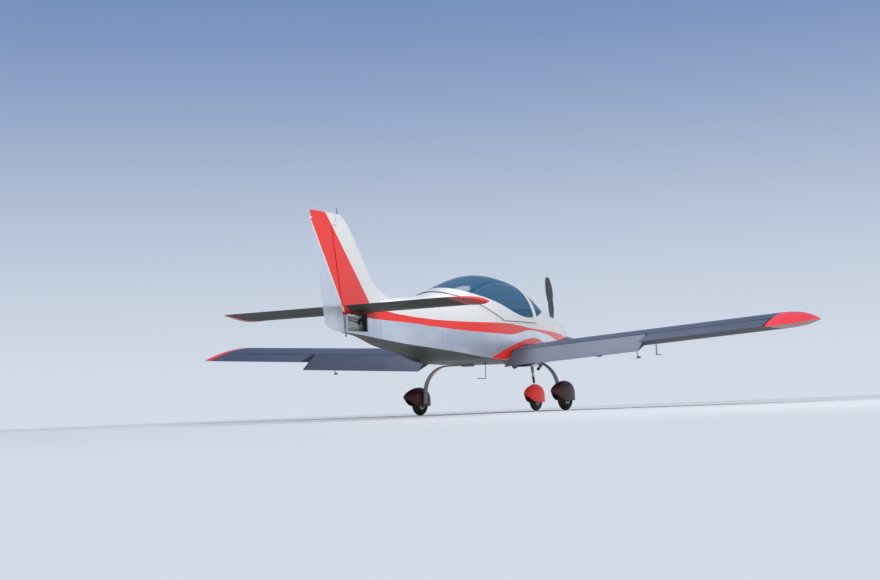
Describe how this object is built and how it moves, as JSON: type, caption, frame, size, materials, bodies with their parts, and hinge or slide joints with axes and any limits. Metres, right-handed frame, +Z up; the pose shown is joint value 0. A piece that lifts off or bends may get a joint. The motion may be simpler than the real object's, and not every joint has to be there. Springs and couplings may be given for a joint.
{
  "type": "microlight aircraft",
  "caption": "Low-wing all-metal two-seat microlight aeroplane with a sliding bubble canopy, faired tricycle gear, working control surfaces and a turning propeller.",
  "frame": {"origin": "on the ground midway between the spinner's tip and the rudder's rear corner, on the plane of symmetry", "axes": "+X to the nose, +Y to the left wing tip, +Z up"},
  "size_m": [6.446, 8.4, 2.295],
  "materials": {
    "bare_aluminium": "polished bare sheet",
    "grey_aluminium": "dull bare sheet",
    "white_aluminium": "white gloss paint over sheet",
    "red_aluminium": "red gloss paint with a bare lower part",
    "white_composite": "white gloss moulding",
    "red_composite": "red gloss moulding",
    "tinted_glazing": "smoke-blue acrylic",
    "engine_iron": "dull",
    "grey_steel": "grey",
    "black_plastic": "matt black",
    "black_blades": "dark composite",
    "seat_fabric": "dark cover over foam",
    "tyre_rubber": "black",
    "lamp_lens": "clear lens"
  },
  "bodies": {
    "airframe": {"fuselage_lower": "bare_aluminium", "turtle_deck": "white_aluminium", "scuttle": "white_aluminium", "firewall": "grey_steel", "upper_cowl": "white_composite", "lower_cowl": "white_composite", "engine_block": "engine_iron", "exhaust": "grey_steel", "windscreen": "tinted_glazing", "seat_bench": "grey_aluminium", "seat_bases": "seat_fabric", "seat_backs": "seat_fabric", "instrument_panel": "black_plastic", "control_sticks": "grey_steel", "bulkheads": "grey_aluminium", "wings": "grey_aluminium", "surface_tips": "red_composite", "tailplane": "grey_aluminium", "fin": "white_aluminium", "control_cables": "grey_steel", "main_legs": "grey_steel", "main_fairings": "red_composite", "nose_strut_mount": "grey_steel", "antennas": "black_plastic", "pitot": "grey_steel", "wing_lamps": "lamp_lens", "tie_down_eyes": "grey_steel"},
    "propeller": {"spinner": "red_composite", "propeller_blades": "black_blades"},
    "main_wheel_left": {"tyre_left": "tyre_rubber", "rim_left": "grey_aluminium"},
    "main_wheel_right": {"tyre_right": "tyre_rubber", "rim_right": "grey_aluminium"},
    "nose_gear": {"nose_leg": "grey_steel", "nose_fairing": "red_composite"},
    "nose_wheel": {"nose_tyre": "tyre_rubber", "nose_rim": "grey_aluminium"},
    "canopy": {"canopy_frame": "white_composite", "canopy_glass": "tinted_glazing", "canopy_latch": "grey_steel"},
    "rudder_body": {"rudder": "red_aluminium", "tail_light": "lamp_lens"},
    "elevator_body": {"elevator": "grey_aluminium"},
    "aileron_left_body": {"aileron_left": "grey_aluminium"},
    "aileron_right_body": {"aileron_right": "grey_aluminium"},
    "flap_left_body": {"flap_left": "grey_aluminium"},
    "flap_right_body": {"flap_right": "grey_aluminium"}
  },
  "joints": [
    {"name": "propeller_spin", "type": "hinge", "parent": "airframe", "child": "propeller", "pos_m": [3.058, 0, 1.093], "axis": [1, 0, 0], "continuous": true},
    {"name": "main_wheel_left_spin", "type": "hinge", "parent": "airframe", "child": "main_wheel_left", "pos_m": [0.902, 1.048, 0.176], "axis": [0, 1, 0], "continuous": true},
    {"name": "main_wheel_right_spin", "type": "hinge", "parent": "airframe", "child": "main_wheel_right", "pos_m": [0.902, -1.048, 0.176], "axis": [0, 1, 0], "continuous": true},
    {"name": "nose_steer", "type": "hinge", "parent": "airframe", "child": "nose_gear", "pos_m": [2.3, 0, 0.372], "axis": [-0.1933, 0, 0.9811], "range_deg": [-20, 20]},
    {"name": "nose_wheel_spin", "type": "hinge", "parent": "nose_gear", "child": "nose_wheel", "pos_m": [2.331, 0, 0.166], "axis": [0, 1, 0], "continuous": true},
    {"name": "canopy_slide", "type": "slide", "parent": "airframe", "child": "canopy", "axis": [-1, 0, 0], "range_m": [0, 0.65]},
    {"name": "rudder_turn", "type": "hinge", "parent": "airframe", "child": "rudder_body", "pos_m": [-2.646, 0, 0.953], "axis": [-0.1805, 0, 0.9836], "range_deg": [-28, 28]},
    {"name": "elevator_turn", "type": "hinge", "parent": "airframe", "child": "elevator_body", "pos_m": [-2.5564, 0, 1.20736], "axis": [0, -1, 0], "range_deg": [-25, 25]},
    {"name": "aileron_left_turn", "type": "hinge", "parent": "airframe", "child": "aileron_left_body", "pos_m": [0.40172, 3.1, 0.86363], "axis": [0, -0.9983, -0.0584], "range_deg": [-20, 20]},
    {"name": "aileron_right_turn", "type": "hinge", "parent": "airframe", "child": "aileron_right_body", "pos_m": [0.40172, -3.1, 0.86363], "axis": [0, -0.9983, 0.0584], "range_deg": [-20, 20]},
    {"name": "flap_left_turn", "type": "hinge", "parent": "airframe", "child": "flap_left_body", "pos_m": [0.40172, 1.475, 0.76851], "axis": [0, -0.9983, -0.0584], "range_deg": [-18, 17]},
    {"name": "flap_right_turn", "type": "hinge", "parent": "airframe", "child": "flap_right_body", "pos_m": [0.40172, -1.475, 0.76851], "axis": [0, -0.9983, 0.0584], "range_deg": [-18, 17]}
  ],
  "couplings": [
    {"joint": "aileron_right_turn", "follows": "aileron_left_turn", "ratio": -1},
    {"joint": "flap_right_turn", "follows": "flap_left_turn", "ratio": 1}
  ]
}
